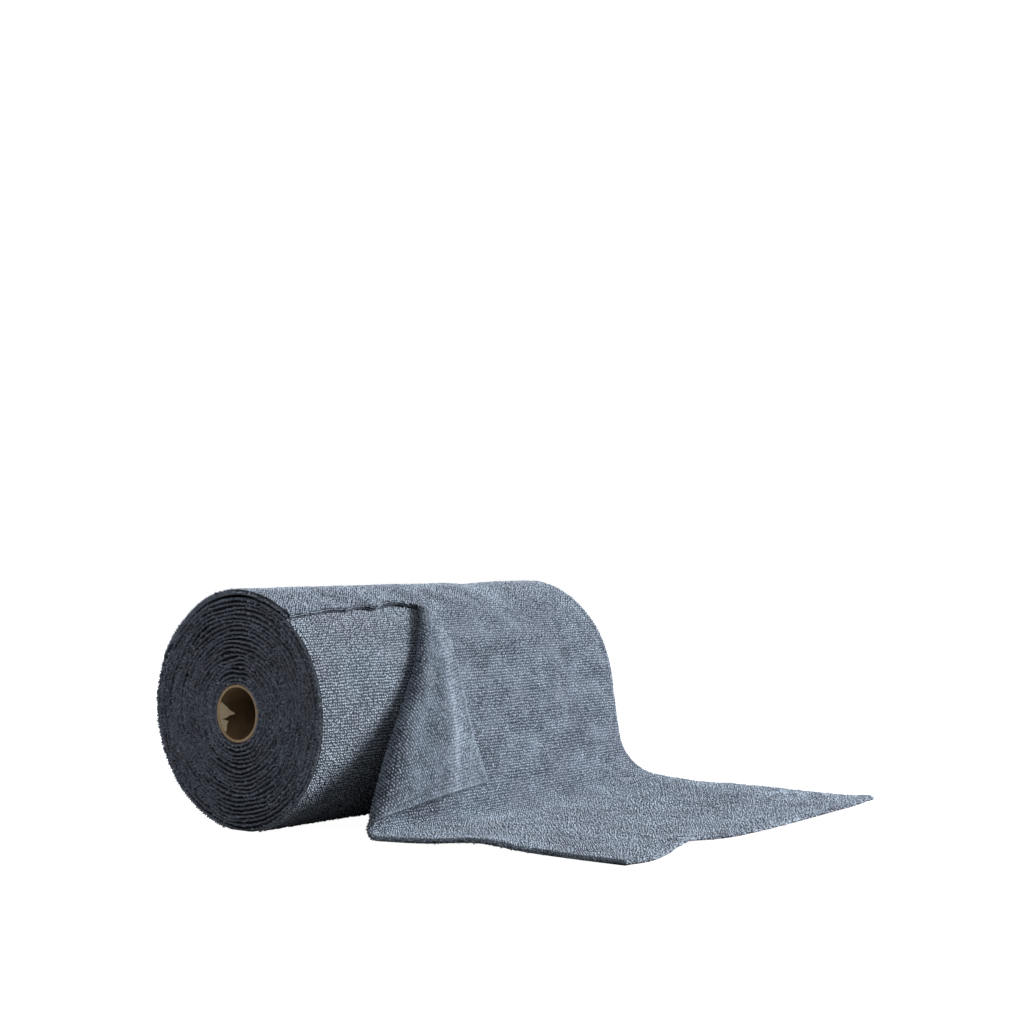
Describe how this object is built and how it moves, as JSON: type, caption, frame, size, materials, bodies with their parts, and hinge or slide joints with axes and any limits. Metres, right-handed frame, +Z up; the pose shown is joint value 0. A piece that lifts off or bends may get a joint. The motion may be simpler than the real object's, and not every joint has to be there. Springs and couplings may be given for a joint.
{
  "type": "towel roll",
  "caption": "Roll of grey terry microfibre towels on a paper core, lying on its side, its loose end torn part way across and run out flat",
  "frame": {"origin": "in the flat spot that the roll lies on, under the middle of its axis", "axes": "+X along the roll's axis from the end that shows its core, -Y to the front where the towel comes off, +Z up"},
  "size_m": [0.3381, 0.3548, 0.1533],
  "materials": {
    "terry_wound": "looped microfibre pile, matt, slate grey",
    "terry_loose": "looped microfibre pile, matt, slate grey",
    "kraft_paper": "unbleached kraft paper, matt"
  },
  "bodies": {
    "root": {"wound_roll": "terry_wound", "core_tube": "kraft_paper", "loose_towel": "terry_loose"}
  },
  "joints": []
}
